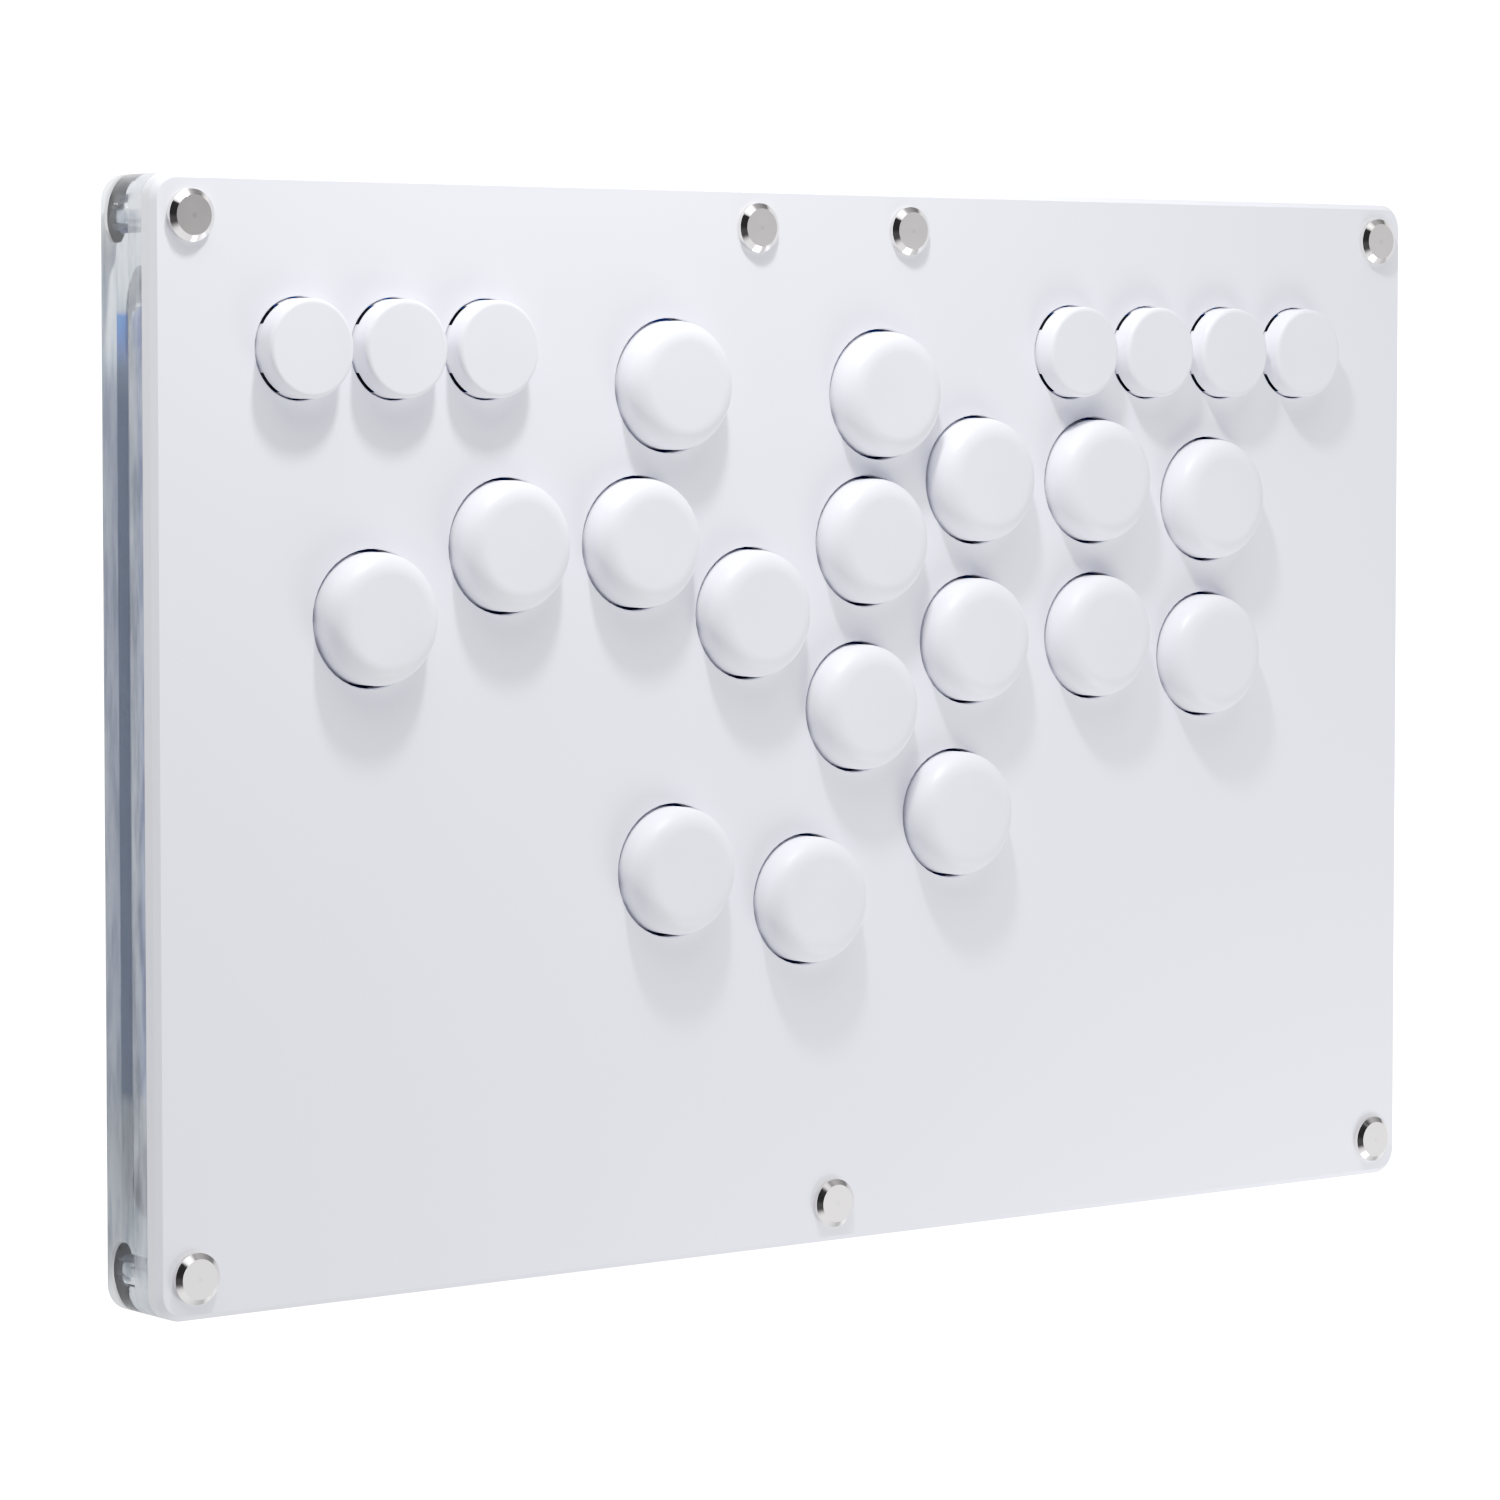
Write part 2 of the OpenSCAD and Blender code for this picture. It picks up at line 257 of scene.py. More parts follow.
def noise(tree, position, scale, detail=2.0, roughness=0.5):
    return node(
        tree, "ShaderNodeTexNoise",
        {"Vector": position, "Scale": scale, "Detail": detail, "Roughness": roughness},
    ).outputs["Fac"]


def place_of(tree):
    return node(tree, "ShaderNodeTexCoord").outputs["Object"]


def bump(tree, height, depth, distance=1 * MM):
    return node(
        tree, "ShaderNodeBump", {"Height": height, "Strength": depth, "Distance": distance}
    ).outputs["Normal"]


def new_material(name):
    paint = bpy.data.materials.new(name)
    paint.use_nodes = True
    return paint, paint.node_tree, paint.node_tree.nodes["Principled BSDF"]


def new_group(name, inputs, outputs):
    """An empty shader node group with its named sockets, and the two nodes that carry them."""
    tree = bpy.data.node_groups.new(name, "ShaderNodeTree")
    for label, kind, value in inputs:
        socket = tree.interface.new_socket(label, in_out="INPUT", socket_type=kind)
        if value is not None:
            socket.default_value = value
    for label in outputs:
        tree.interface.new_socket(label, in_out="OUTPUT", socket_type="NodeSocketFloat")
    return tree, tree.nodes.new("NodeGroupInput").outputs, tree.nodes.new("NodeGroupOutput").inputs


def use_group(tree, group, **inputs):
    made = tree.nodes.new("ShaderNodeGroup")
    made.node_tree = group
    for key, value in inputs.items():
        socket = made.inputs[key.replace("_", " ")]
        if isinstance(value, bpy.types.NodeSocket):
            tree.links.new(value, socket)
        else:
            socket.default_value = value
    return made.outputs


# ------------------------------------------------------------ effects that several finishes share

def make_fine_grain():
    """Spark-eroded mould texture: a fine height and a slow, faint mottle."""
    tree, given, out = new_group(
        "fine_grain",
        [("Position", "NodeSocketVector", None), ("Grain", "NodeSocketFloat", 2600.0)],
        ["Height", "Mottle"],
    )
    fine = noise(tree, given["Position"], given["Grain"], 3.0, 0.6)
    coarse = noise(tree, given["Position"], maths(tree, "MULTIPLY", given["Grain"], 0.3), 2.0)
    tree.links.new(maths(tree, "ADD", fine, maths(tree, "MULTIPLY", coarse, 0.6)), out["Height"])
    slow = noise(tree, given["Position"], maths(tree, "MULTIPLY", given["Grain"], 0.02), 3.0)
    tree.links.new(spread(tree, slow, 0.35, 0.65, 0.0, 1.0), out["Mottle"])
    return tree


def make_handling_marks():
    """Soft finger smudges, and hairline scuffs in two directions."""
    tree, given, out = new_group(
        "handling_marks",
        [("Position", "NodeSocketVector", None), ("Amount", "NodeSocketFloat", 1.0)],
        ["Smudge", "Scuff"],
    )
    blot = noise(tree, given["Position"], 38.0, 4.0, 0.55)
    tree.links.new(
        maths(tree, "MULTIPLY", spread(tree, blot, 0.5, 0.72, 0.0, 1.0), given["Amount"]), out["Smudge"]
    )
    lines = []
    for turn, scale in ((0.6, (900, 14, 60)), (-0.9, (14, 760, 60))):
        mapped = stretched(tree, given["Position"], scale, turn)
        lines.append(spread(tree, noise(tree, mapped, 1.0, 1.0), 0.7, 0.76, 0.0, 1.0))
    both = maths(tree, "MAXIMUM", lines[0], lines[1])
    tree.links.new(maths(tree, "MULTIPLY", both, given["Amount"]), out["Scuff"])
    return tree


def make_sheet_edge():
    """Which surface of a cut sheet is its edge, and the upright lines that a cutter leaves."""
    tree, given, out = new_group(
        "sheet_edge",
        [("Position", "NodeSocketVector", None), ("Facing", "NodeSocketVector", None)],
        ["Edge", "Lines"],
    )
    up = node(tree, "ShaderNodeSeparateXYZ", {"Vector": given["Facing"]}).outputs["Z"]
    tree.links.new(spread(tree, maths(tree, "ABSOLUTE", up), 0.2, 0.9, 1.0, 0.0), out["Edge"])
    fine = noise(tree, stretched(tree, given["Position"], (1300, 1300, 40)), 1.0, 2.0)
    slow = noise(tree, stretched(tree, given["Position"], (210, 210, 12)), 1.0, 2.0)
    tree.links.new(maths(tree, "ADD", fine, maths(tree, "MULTIPLY", slow, 0.8)), out["Lines"])
    return tree


def make_turned_rings():
    """Height of the tool's rings round the nearest binding post, and the distance to its middle."""
    tree, given, out = new_group(
        "turned_rings", [("Position", "NodeSocketVector", None)], ["Height", "Distance"]
    )
    split = node(tree, "ShaderNodeSeparateXYZ", {"Vector": given["Position"]})
    flat = node(
        tree, "ShaderNodeCombineXYZ", {"X": split.outputs["X"], "Y": split.outputs["Y"]}
    ).outputs["Vector"]
    nearest = None
    for x, y in post_centres():
        away = node(
            tree, "ShaderNodeVectorMath", {0: flat, 1: (x, y, 0)}, operation="DISTANCE"
        ).outputs["Value"]
        nearest = away if nearest is None else maths(tree, "MINIMUM", nearest, away)
    ring_pitch = 0.16 * MM
    rings = maths(tree, "SINE", maths(tree, "MULTIPLY", nearest, 2 * math.pi / ring_pitch))
    grit = noise(tree, given["Position"], 2200.0, 2.0)
    tree.links.new(maths(tree, "ADD", rings, maths(tree, "MULTIPLY", grit, 1.5)), out["Height"])
    tree.links.new(nearest, out["Distance"])
    return tree


def post_centres():
    """The binding posts' middles, found from the corners of their flat tops."""
    found = []
    head_size, top_margin = 12 * MM, 0.01 * MM
    for vertex in NODES["binding_posts"].data.vertices:
        if vertex.co.z < POSTS_TOP - top_margin:
            continue
        for group in found:
            if (group[0] - vertex.co).length < head_size:
                group.append(vertex.co.copy())
                break
        else:
            found.append([vertex.co.copy()])
    middles = []
    for group in found:
        xs, ys = [p.x for p in group], [p.y for p in group]
        middles.append(((min(xs) + max(xs)) / 2, (min(ys) + max(ys)) / 2))
    return middles


# ------------------------------------------------------------ finishes

def moulded_plastic(name, colour, roughness, grain, depth, marks=0.0):
    """Injection-moulded plastic with its mould grain, a faint mottle and some handling."""
    paint, tree, shader = new_material(name)
    place = place_of(tree)
    texture = use_group(tree, FINE_GRAIN, Position=place, Grain=grain)
    wear = use_group(tree, HANDLING, Position=place, Amount=marks)
    darker = tuple(c * 0.955 for c in colour)
    base = blend_colour(tree, texture["Mottle"], colour, darker)
    tree.links.new(base, shader.inputs["Base Color"])
    rough = maths(tree, "ADD", roughness, maths(tree, "MULTIPLY", texture["Mottle"], 0.05))
    rough = maths(tree, "SUBTRACT", rough, maths(tree, "MULTIPLY", wear["Smudge"], 0.12))
    tree.links.new(rough, shader.inputs["Roughness"])
    height = maths(tree, "SUBTRACT", texture["Height"], maths(tree, "MULTIPLY", wear["Scuff"], 0.5))
    tree.links.new(bump(tree, height, depth, 0.05 * MM), shader.inputs["Normal"])
    return paint


def white_sheet():
    """Cast white acrylic: a satin face with a trace of orange peel, and a milled, rougher edge whose
    darker colour is painted shade.
    """
    paint, tree, shader = new_material("white_acrylic_sheet")
    place = place_of(tree)
    facing = node(tree, "ShaderNodeNewGeometry").outputs["Normal"]
    cut = use_group(tree, SHEET_EDGE, Position=place, Facing=facing)
    wear = use_group(tree, HANDLING, Position=place, Amount=0.7)
    cloud = spread(tree, noise(tree, place, 9.0, 3.0), 0.35, 0.65, 0.0, 1.0)
    face = blend_colour(tree, cloud, (0.81, 0.818, 0.898), (0.80, 0.808, 0.89))
    # The edges get a darker base colour: painted shade on the panel's sides.
    base = blend_colour(tree, cut["Edge"], face, (0.70, 0.705, 0.745))
    tree.links.new(base, shader.inputs["Base Color"])
    rough = spread(tree, wear["Smudge"], 0.0, 1.0, 0.36, 0.27)
    rough = maths(tree, "ADD", rough, maths(tree, "MULTIPLY", cut["Edge"], 0.14))
    tree.links.new(rough, shader.inputs["Roughness"])
    peel = maths(
        tree, "ADD", maths(tree, "MULTIPLY", noise(tree, place, 420.0, 2.0), 0.8),
        maths(tree, "MULTIPLY", cut["Lines"], cut["Edge"]),
    )
    peel = maths(tree, "SUBTRACT", peel, maths(tree, "MULTIPLY", wear["Scuff"], 0.3))
    tree.links.new(bump(tree, peel, 0.25, 0.05 * MM), shader.inputs["Normal"])
    return paint


def clear_sheet():
    """Clear cast acrylic: polished faces, and edges with cutter's lines and painted streaks of light
    and shade along them.

    The edge of the layer that the board lies in is painted with the board's blue as seen through it,
    brightest near the back corner as a painted glow.
    The edge of the layer above it, next to the panel, is partly frosted and partly a painted reflection
    of the white panel, in streaks.
    """
    paint, tree, shader = new_material("clear_acrylic_sheet")
    place = place_of(tree)
    facing = node(tree, "ShaderNodeNewGeometry").outputs["Normal"]
    cut = use_group(tree, SHEET_EDGE, Position=place, Facing=facing)
    wear = use_group(tree, HANDLING, Position=place, Amount=0.6)
    shader.inputs["Transmission Weight"].default_value = 1
    shader.inputs["IOR"].default_value = 1.45
    # The pale and deep edge colours are painted light and painted shade, laid in streaks along the
    # edges.
    clear, pale, deep = (0.985, 0.99, 0.995), (0.82, 0.85, 0.88), (0.40, 0.45, 0.52)
    # These two blues are the board's colour painted onto the layer's edge as seen through it; the
    # brighter one is a painted glow near the back corner.
    painted_board_blue_dim, painted_board_blue_glow = (0.11, 0.155, 0.25), (0.03, 0.14, 0.8)
    # The frost white is partly real frost of a cut edge and partly a painted reflection of the white
    # panel above.
    frost_and_reflection_white, shadow_tint = (0.78, 0.82, 0.87, 1), (0.93, 0.945, 0.955)
    painted_streak = noise(tree, stretched(tree, place, (60, 60, 420)), 1.0, 3.0)
    edge_painted_colour = blend_colour(tree, spread(tree, painted_streak, 0.38, 0.66, 0.0, 1.0), pale, deep)
    # Painted see-through blue beside the board, brighter towards the back corner.
    painted_blue_zone, painted_glow_end = board_blue_painted_zone(tree, place)
    painted_board_blue = blend_colour(tree, painted_glow_end, painted_board_blue_dim, painted_board_blue_glow)
    edge_painted_colour = blend_colour(tree, painted_blue_zone, edge_painted_colour, painted_board_blue)
    base = blend_colour(tree, cut["Edge"], clear, edge_painted_colour)
    tree.links.new(base, shader.inputs["Base Color"])
    rough = maths(tree, "ADD", 0.012, maths(tree, "MULTIPLY", cut["Edge"], 0.04))
    rough = maths(tree, "ADD", rough, maths(tree, "MULTIPLY", wear["Smudge"], 0.05))
    tree.links.new(rough, shader.inputs["Roughness"])
    height = maths(tree, "MULTIPLY", cut["Lines"], cut["Edge"])
    height = maths(tree, "SUBTRACT", height, maths(tree, "MULTIPLY", wear["Scuff"], 0.15))
    tree.links.new(bump(tree, height, 0.35, 0.05 * MM), shader.inputs["Normal"])
    # Diffuse white mixed into the edges under the panel: partly frost, partly a painted reflection of
    # the panel's light.
    frost_and_painted_reflection = node(
        tree, "ShaderNodeBsdfDiffuse", {"Color": frost_and_reflection_white, "Roughness": 0.6}
    ).outputs["BSDF"]
    above_table = node(tree, "ShaderNodeSeparateXYZ", {"Vector": place}).outputs["Z"]
    under_panel = spread(tree, above_table, LAYER_HIGH - 0.1 * MM, LAYER_HIGH + 0.3 * MM, 0.04, 0.5)
    streaky = maths(tree, "MULTIPLY", under_panel, spread(tree, painted_streak, 0.3, 0.7, 1.0, 0.45))
    frosted = node(
        tree, "ShaderNodeMixShader",
        {0: maths(tree, "MULTIPLY", streaky, cut["Edge"]), 1: shader.outputs["BSDF"], 2: frost_and_painted_reflection},
    ).outputs[0]
    open_to_light(tree, frosted, cut["Edge"], shadow_tint)
    return paint


def board_blue_painted_zone(tree, place):
    """Where the board's blue is painted onto its layer's edge, and how near that is to its back corner,
    where the painted blue is brightest.
    """
    split = node(tree, "ShaderNodeSeparateXYZ", {"Vector": place}).outputs
    soft, side_zone = 0.25 * MM, 140 * MM
    above = spread(tree, split["Z"], LAYER_LOW, LAYER_LOW + soft, 0.0, 1.0)
    below = spread(tree, split["Z"], LAYER_HIGH - soft, LAYER_HIGH, 1.0, 0.0)
    outer = spread(
        tree, maths(tree, "ABSOLUTE", split["X"]), side_zone, side_zone + 1 * MM, 0.0, 1.0
    )
    front = spread(tree, split["Y"], BOARD_LOW.y + 1 * MM, BOARD_LOW.y + 4 * MM, 0.0, 1.0)
    back = spread(tree, split["Y"], BOARD_BACK - 4 * MM, BOARD_BACK - 2.5 * MM, 1.0, 0.0)
    along = maths(tree, "MULTIPLY", maths(tree, "MULTIPLY", front, back), outer)
    painted_blue_zone = maths(tree, "MULTIPLY", maths(tree, "MULTIPLY", above, below), along)
    corner = spread(tree, split["Y"], BOARD_BACK - 14 * MM, BOARD_BACK - 5 * MM, 0.0, 1.0)
    return painted_blue_zone, corner


def open_to_light(tree, surface, edge, tint):
    """Lets lamp light and scattered light pass straight through a sheet, slightly tinted.

    Light that is already inside the stack passes straight on through every flat face, since the
    sheets touch there and light would otherwise be trapped between them.
    """
    through = node(tree, "ShaderNodeBsdfTransparent", {"Color": (*tint, 1)})
    path = node(tree, "ShaderNodeLightPath").outputs
    straight = maths(tree, "MAXIMUM", path["Is Shadow Ray"], path["Is Diffuse Ray"])
    touching = maths(
        tree, "MULTIPLY", path["Is Transmission Ray"], maths(tree, "LESS_THAN", edge, 0.5)
    )
    straight = maths(tree, "MAXIMUM", straight, touching)
    mixed = node(
        tree, "ShaderNodeMixShader", {0: straight, 1: surface, 2: through.outputs["BSDF"]}
    )
    tree.links.new(mixed.outputs[0], tree.nodes["Material Output"].inputs["Surface"])


def turned_metal(name, colour, roughness):
    """Plated metal off a lathe: rings on the flat heads, a little haze, and fine handling lines."""
    paint, tree, shader = new_material(name)
    place = place_of(tree)
    rings = use_group(tree, TURNED_RINGS, Position=place)
    wear = use_group(tree, HANDLING, Position=place, Amount=1.0)
    middle = spread(tree, rings["Distance"], 0.2 * MM, 0.7 * MM, 1.0, 0.0)
    base = blend_colour(tree, middle, colour, tuple(c * 0.9 for c in colour))
    tree.links.new(base, shader.inputs["Base Color"])
    shader.inputs["Metallic"].default_value = 1
    haze = spread(tree, noise(tree, place, 260.0, 3.0), 0.35, 0.7, roughness, roughness + 0.04)
    haze = maths(tree, "ADD", haze, maths(tree, "MULTIPLY", wear["Smudge"], 0.08))
    tree.links.new(haze, shader.inputs["Roughness"])
    height = maths(tree, "SUBTRACT", rings["Height"], maths(tree, "MULTIPLY", middle, 1.5))
    tree.links.new(bump(tree, height, 0.035, 0.02 * MM), shader.inputs["Normal"])
    return paint


def plain_metal(name, colour, roughness, grain):
    """Drawn or stamped metal with fine lines and slight tarnish."""
    paint, tree, shader = new_material(name)
    place = place_of(tree)
    lines = noise(tree, stretched(tree, place, (grain, grain, grain * 0.06)), 1.0, 2.0)
    tarnish = spread(tree, noise(tree, place, 300.0, 4.0), 0.4, 0.7, 0.0, 1.0)
    base = blend_colour(tree, tarnish, colour, tuple(c * 0.82 for c in colour))
    tree.links.new(base, shader.inputs["Base Color"])
    shader.inputs["Metallic"].default_value = 1
    tree.links.new(
        spread(tree, tarnish, 0.0, 1.0, roughness, roughness + 0.14), shader.inputs["Roughness"]
    )
    tree.links.new(bump(tree, lines, 0.3, 0.02 * MM), shader.inputs["Normal"])
    return paint


def solder_mask(name, over_copper, over_glass):
    """Glossy blue lacquer, a little lighter over the buried copper areas, and a raw pale edge."""
    paint, tree, shader = new_material(name)
    place = place_of(tree)
    facing = node(tree, "ShaderNodeNewGeometry").outputs["Normal"]
    up = node(tree, "ShaderNodeSeparateXYZ", {"Vector": facing}).outputs["Z"]
    edge = spread(tree, maths(tree, "ABSOLUTE", up), 0.3, 0.8, 1.0, 0.0)
    pour = spread(tree, noise(tree, place, 46.0, 1.0), 0.4, 0.6, 0.0, 1.0)
    weave = node(
        tree, "ShaderNodeTexBrick",
        {"Vector": place, "Scale": 900.0, "Mortar Size": 0.06, "Color1": (1, 1, 1, 1),
         "Color2": (0.7, 0.7, 0.7, 1), "Mortar": (0.3, 0.3, 0.3, 1)},
    ).outputs["Fac"]
    face = blend_colour(tree, pour, over_copper, over_glass)
    base = blend_colour(tree, edge, face, (0.05, 0.17, 0.52))
    tree.links.new(base, shader.inputs["Base Color"])
    tree.links.new(spread(tree, edge, 0.0, 1.0, 0.24, 0.6), shader.inputs["Roughness"])
    height = maths(
        tree, "ADD", maths(tree, "MULTIPLY", pour, 0.3), maths(tree, "MULTIPLY", weave, 0.12)
    )
    tree.links.new(bump(tree, height, 0.3, 0.04 * MM), shader.inputs["Normal"])
    return paint


def foot_rubber():
    """Black rubber with a moulded grain and pale dust in its low places."""
    paint, tree, shader = new_material("black_foot_rubber")
    place = place_of(tree)
    texture = use_group(tree, FINE_GRAIN, Position=place, Grain=1700.0)
    dust = spread(tree, noise(tree, place, 190.0, 5.0), 0.5, 0.75, 0.0, 0.5)
    base = blend_colour(tree, dust, (0.018, 0.018, 0.019), (0.075, 0.073, 0.07))
    tree.links.new(base, shader.inputs["Base Color"])
    tree.links.new(spread(tree, texture["Mottle"], 0.0, 1.0, 0.66, 0.8), shader.inputs["Roughness"])
    tree.links.new(bump(tree, texture["Height"], 0.5, 0.08 * MM), shader.inputs["Normal"])
    return paint


def socket_metal():
    """A steel shell with a black tongue, which is told apart by how near it is to the middle."""
    paint, tree, shader = new_material("socket_shell_and_tongue")
    low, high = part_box("usb_socket")
    place = place_of(tree)
    split = node(tree, "ShaderNodeSeparateXYZ", {"Vector": place})
    middle = (low + high) / 2
    off_x = maths(tree, "ABSOLUTE", maths(tree, "SUBTRACT", split.outputs["X"], middle.x))
    off_z = maths(tree, "ABSOLUTE", maths(tree, "SUBTRACT", split.outputs["Z"], middle.z))
    half_width, half_height = 3.4 * MM, 0.45 * MM
    tongue = maths(
        tree, "MULTIPLY",
        maths(tree, "LESS_THAN", off_x, half_width), maths(tree, "LESS_THAN", off_z, half_height),
    )
    grain = noise(tree, stretched(tree, place, (3000, 200, 3000)), 1.0, 2.0)
    base = blend_colour(tree, tongue, (0.66, 0.66, 0.67), (0.02, 0.02, 0.022))
    tree.links.new(base, shader.inputs["Base Color"])
    tree.links.new(spread(tree, tongue, 0.0, 1.0, 1.0, 0.0), shader.inputs["Metallic"])
    tree.links.new(spread(tree, grain, 0.3, 0.7, 0.24, 0.4), shader.inputs["Roughness"])
    tree.links.new(bump(tree, grain, 0.3, 0.02 * MM), shader.inputs["Normal"])
    return paint


def dress(names, paint):
    """Gives CAD nodes their finish."""
    for name in names:
        slots = NODES[name].data.materials
        slots.clear()
        slots.append(paint)


# ------------------------------------------------------------ coil springs

def spring_tree(paint):
    """Geometry Nodes for a round-wire compression spring; Place is the start of the wire's axis."""
    tree = bpy.data.node_groups.new("coil_spring", "GeometryNodeTree")
    sockets = {}
    for label, kind in (
        ("Turns", "NodeSocketFloat"), ("Coil Radius", "NodeSocketFloat"),
        ("Wire Radius", "NodeSocketFloat"), ("Height", "NodeSocketFloat"),
        ("Place", "NodeSocketVector"),
    ):
        socket = tree.interface.new_socket(label, in_out="INPUT", socket_type=kind)
        sockets[label] = socket.identifier
    tree.interface.new_socket("Geometry", in_out="OUTPUT", socket_type="NodeSocketGeometry")
    given = tree.nodes.new("NodeGroupInput").outputs
    helix = node(
        tree, "GeometryNodeCurveSpiral",
        {"Resolution": 22, "Rotations": given["Turns"], "Start Radius": given["Coil Radius"],
         "End Radius": given["Coil Radius"], "Height": given["Height"]},
    )
    wire = node(
        tree, "GeometryNodeCurvePrimitiveCircle", {"Resolution": 8, "Radius": given["Wire Radius"]}
    )
    body = node(
        tree, "GeometryNodeCurveToMesh",
        {"Curve": helix.outputs["Curve"], "Profile Curve": wire.outputs["Curve"], "Fill Caps": True},
    )
    moved = node(
        tree, "GeometryNodeTransform",
        {"Geometry": body.outputs["Mesh"], "Translation": given["Place"]},
    )
    smooth = node(tree, "GeometryNodeSetShadeSmooth", {"Geometry": moved.outputs["Geometry"]})
    real = node(tree, "GeometryNodeRealizeInstances", {"Geometry": smooth.outputs["Geometry"]})
    painted = node(tree, "GeometryNodeSetMaterial", {"Geometry": real.outputs["Geometry"]})
    painted.inputs["Material"].default_value = paint
    tree.links.new(painted.outputs["Geometry"], tree.nodes.new("NodeGroupOutput").inputs["Geometry"])
    return tree, sockets


def grow(name, tree, sockets, values):
    """Runs a Geometry Nodes tree on an empty mesh and keeps the result as a plain mesh object."""
    holder = bpy.data.objects.new(name + "_holder", bpy.data.meshes.new(name + "_holder"))
    SCENE.collection.objects.link(holder)
    modifier = holder.modifiers.new("grow", "NODES")
    modifier.node_group = tree
    for label, value in values.items():
        modifier[sockets[label]] = value
    evaluated = holder.evaluated_get(bpy.context.evaluated_depsgraph_get())
    mesh = bpy.data.meshes.new_from_object(evaluated)
    holder.modifiers.remove(modifier)
    bpy.data.objects.remove(holder)
    mesh.name = name
    return finish_mesh(name, mesh)


def finish_mesh(name, mesh):
    """Merges doubles, turns every face outwards and links the piece."""
    work = bmesh.new()
    work.from_mesh(mesh)
    bmesh.ops.remove_doubles(work, verts=work.verts, dist=0.002 * MM)
    bmesh.ops.recalc_face_normals(work, faces=work.faces)
    work.to_mesh(mesh)
    work.free()
    piece = bpy.data.objects.new(name, mesh)
    SCENE.collection.objects.link(piece)
    return piece


def coil_springs(paint):
    """A coil in every switch, at its rest length."""
    tree, sockets = spring_tree(paint)
    wire, outer_radius, turns = 0.17 * MM, 1.8 * MM, 8.0
    rest = SPRING_HIGH.z - SPRING_LOW.z
    for body in BUTTONS:
        middle = button_centre(body)
        piece = grow(body.replace("button", "spring"), tree, sockets, {
            "Turns": turns,
            "Coil Radius": outer_radius - wire,
            "Wire Radius": wire,
            "Height": rest - 2 * wire,
            "Place": (middle.x, middle.y, SPRING_LOW.z + wire),
        })
        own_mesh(piece)
        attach(piece, "controller")
        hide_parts("switch_springs")


# ------------------------------------------------------------ the board's underside

def lead(body, side):
    """Where one lead of a button's switch comes through the board; side is -1 or 1."""
    middle = button_centre(body)
    return Vector((middle.x + side * LEAD_SIDE, middle.y - LEAD_FRONT, BOARD_LOW.z))


def lathe(work, middle, profile, sides=14):
    """A closed turned form round an upright axis; the profile is (radius, height) from end to end."""
    rings = []
    for radius, height in profile:
        rings.append([
            work.verts.new((
                middle.x + radius * math.cos(2 * math.pi * i / sides),
                middle.y + radius * math.sin(2 * math.pi * i / sides),
                middle.z + height,
            ))
            for i in range(sides)
        ])
    for lower, upper in zip(rings, rings[1:]):
        for i in range(sides):
            j = (i + 1) % sides
            work.faces.new((lower[i], lower[j], upper[j], upper[i]))
    work.faces.new(rings[0][::-1])
    work.faces.new(rings[-1])


def keep(name, work, paint, smooth=True):
    """Turns a bmesh into a piece that rides on the controller."""
    bmesh.ops.recalc_face_normals(work, faces=work.faces)
    for face in work.faces:
        face.smooth = smooth
    mesh = bpy.data.meshes.new(name)
    work.to_mesh(mesh)
    work.free()
    mesh.materials.append(paint)
    piece = bpy.data.objects.new(name, mesh)
    SCENE.collection.objects.link(piece)
    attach(piece, "controller")
    return piece


def solder_joints(paint):
    """A small concave cone of solder round every lead, under the board."""
    work = bmesh.new()
    profile_mm = [(1.0, 0.0), (0.94, -0.1), (0.72, -0.28), (0.55, -0.55), (0.5, -0.85), (0.42, -1.0)]
    profile = [(radius * MM, height * MM) for radius, height in profile_mm]
    for body in BUTTONS:
        for side in (-1, 1):
            lathe(work, lead(body, side), profile)
    keep("solder_joints", work, paint)


def ribbon(work, points, width, low, high):
    """A flat raised line through the points, mitred at its bends."""
    sides = []
    for i, point in enumerate(points):
        before = (point - points[i - 1]).normalized() if i else (points[1] - point).normalized()
        after = (points[i + 1] - point).normalized() if i + 1 < len(points) else before
        bisector = (before + after).normalized()
        across = Vector((-bisector.y, bisector.x))
        reach = width / 2 / max(across.dot(Vector((-before.y, before.x))), 0.5)
        sides.append((point + across * reach, point - across * reach))
    corners = [
        [work.verts.new((p.x, p.y, z)) for p, z in ((a, low), (b, low), (b, high), (a, high))]
        for a, b in sides
    ]
    for first, second in zip(corners, corners[1:]):
        for i in range(4):
            j = (i + 1) % 4
            work.faces.new((first[i], first[j], second[j], second[i]))
    work.faces.new(corners[0][::-1])
    work.faces.new(corners[-1])


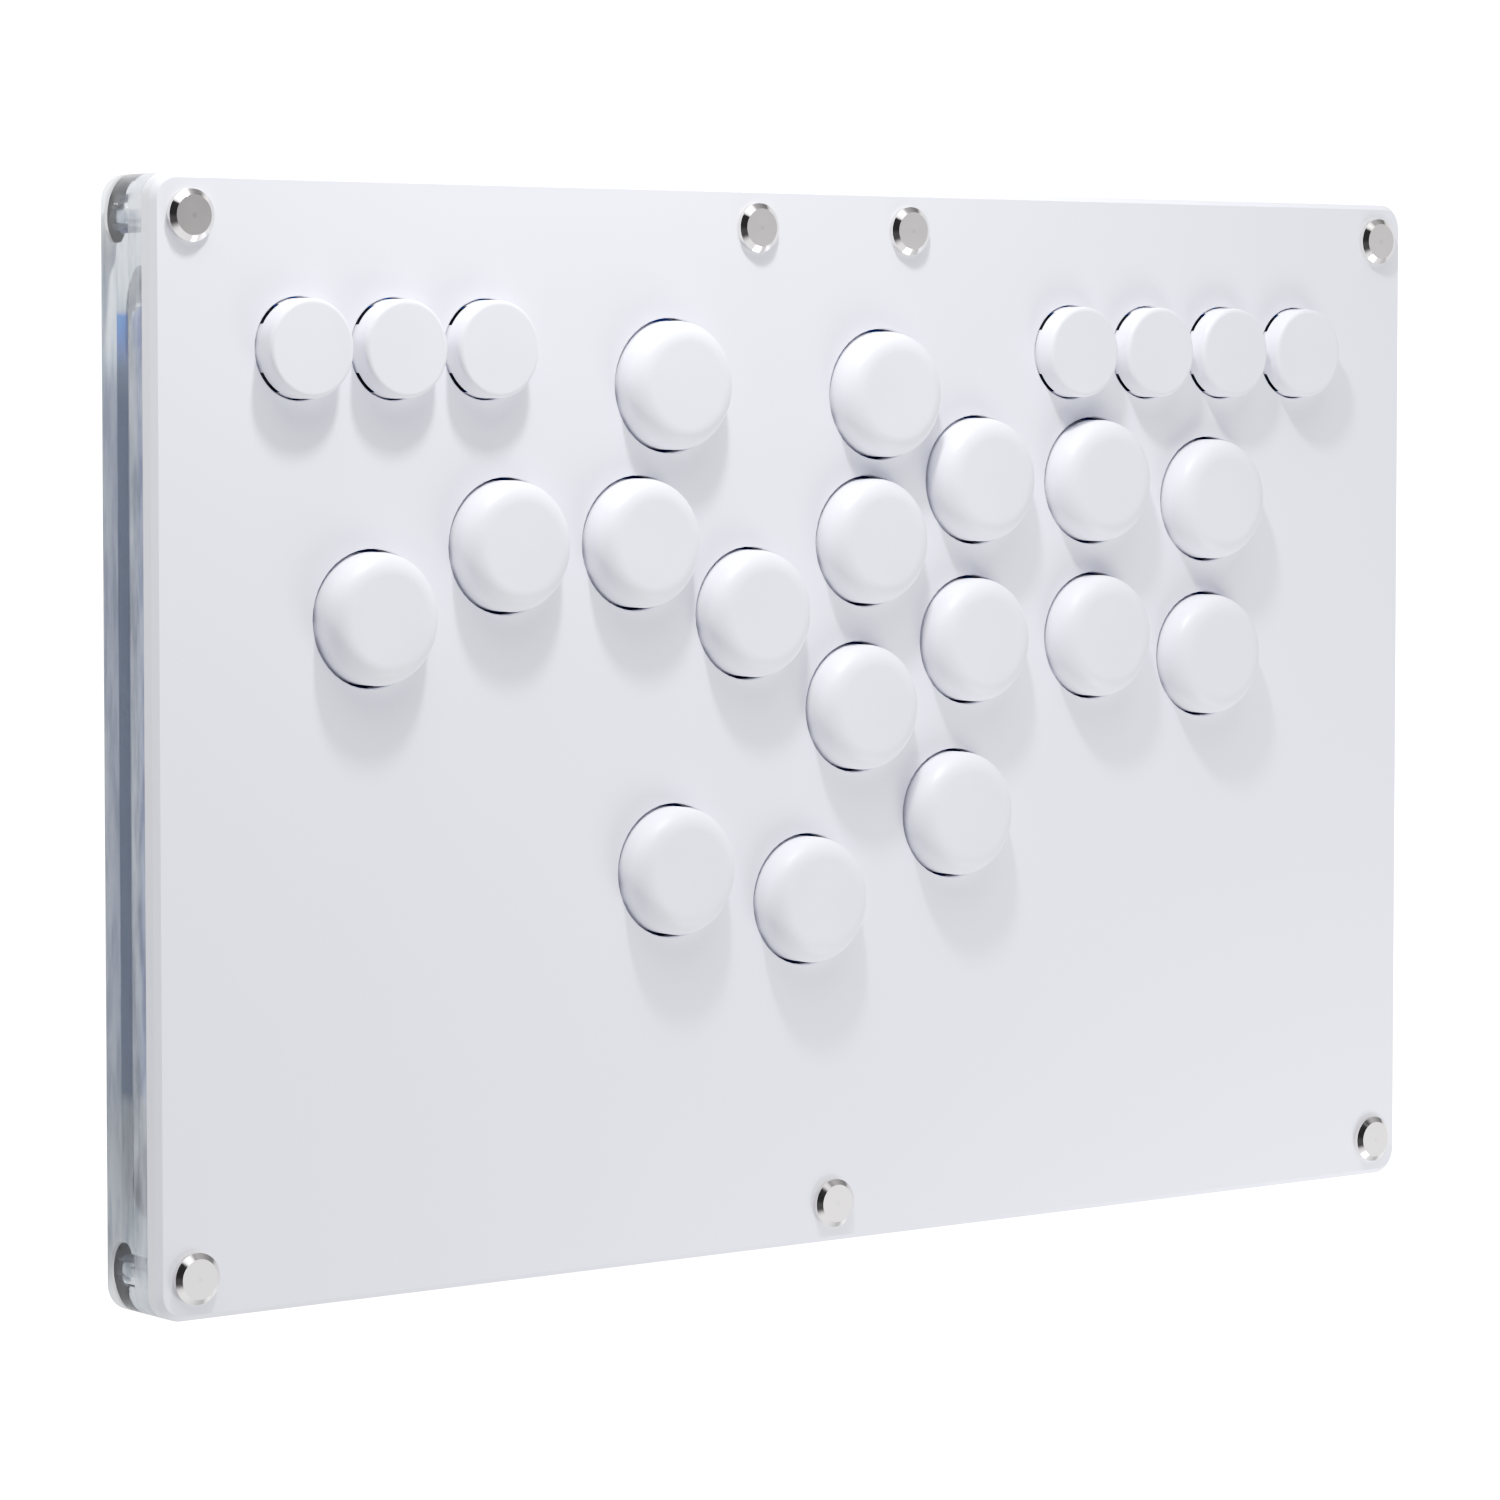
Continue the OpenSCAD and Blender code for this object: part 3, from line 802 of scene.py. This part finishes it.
def board_tracks(paint):
    """Copper tracks under the lacquer: each switch's signal lead runs to the controller chip."""
    work = bmesh.new()
    low, high = BOARD_LOW.z - 0.07 * MM, BOARD_LOW.z + 0.02 * MM
    chip = Vector((-13.5 * MM, 60 * MM))
    first_lane, lane_pitch, port_pitch, width = 57 * MM, 0.9 * MM, 0.32 * MM, 0.42 * MM
    order = sorted(BUTTONS, key=lambda body: (button_centre(body).x, button_centre(body).y))
    middle_rank = (len(order) - 1) / 2
    for rank, body in enumerate(order):
        start = lead(body, 1).to_2d()
        lane = first_lane - rank * lane_pitch
        run = abs(lane - start.y)
        port = Vector((chip.x + (rank - middle_rank) * port_pitch, chip.y))
        room = abs(port.x - start.x)
        step = min(3 * MM, run / 2, room / 3)
        bend = min(2 * MM, room / 3)
        sign = 1 if lane > start.y else -1
        toward = 1 if port.x > start.x else -1
        ribbon(work, [
            start,
            Vector((start.x, lane - sign * step)),
            Vector((start.x + toward * step, lane)),
            Vector((port.x - toward * bend, lane)),
            Vector((port.x, lane + bend)),
            port,
        ], width, low, high)
    keep("board_tracks", work, paint, smooth=False)


# ------------------------------------------------------------ building it

place_camera()
key_lamp()
fill_lamp()
studio_world()
film_response()
lay_floor()

FINE_GRAIN = make_fine_grain()
HANDLING = make_handling_marks()
SHEET_EDGE = make_sheet_edge()
TURNED_RINGS = make_turned_rings()

dress(["top_panel"], white_sheet())
dress(["upper_frame", "lower_frame", "bottom_plate"], clear_sheet())
dress(
    [name for name in NODES if "_cap_" in name],
    moulded_plastic("cap_plastic", (0.80, 0.806, 0.874), 0.42, 2400.0, 0.32, marks=0.7),
)
dress(["binding_posts"], turned_metal("polished_nickel", (0.80, 0.765, 0.73), 0.045))
dress(
    ["circuit_board"],
    solder_mask("blue_solder_mask", (0.0145, 0.094, 0.43), (0.013, 0.085, 0.40)),
)
dress(
    ["switch_housings"],
    moulded_plastic("switch_housing_plastic", (0.075, 0.077, 0.083), 0.42, 2000.0, 0.4),
)
dress(["board_chips"], moulded_plastic("chip_epoxy", (0.025, 0.025, 0.027), 0.5, 3200.0, 0.4))
dress(
    [name for name in NODES if "_stem_" in name],
    moulded_plastic("stem_plastic", (0.80, 0.80, 0.77), 0.38, 2400.0, 0.25),
)
dress(["switch_contacts"], plain_metal("contact_brass", (0.80, 0.66, 0.38), 0.3, 2500.0))
dress(["usb_socket"], socket_metal())
dress(["rubber_feet"], foot_rubber())

coil_springs(plain_metal("spring_wire_steel", (0.62, 0.62, 0.64), 0.22, 1800.0))
solder_joints(plain_metal("solder", (0.70, 0.71, 0.73), 0.28, 900.0))
board_tracks(solder_mask("track_solder_mask", (0.026, 0.15, 0.56), (0.024, 0.14, 0.54)))
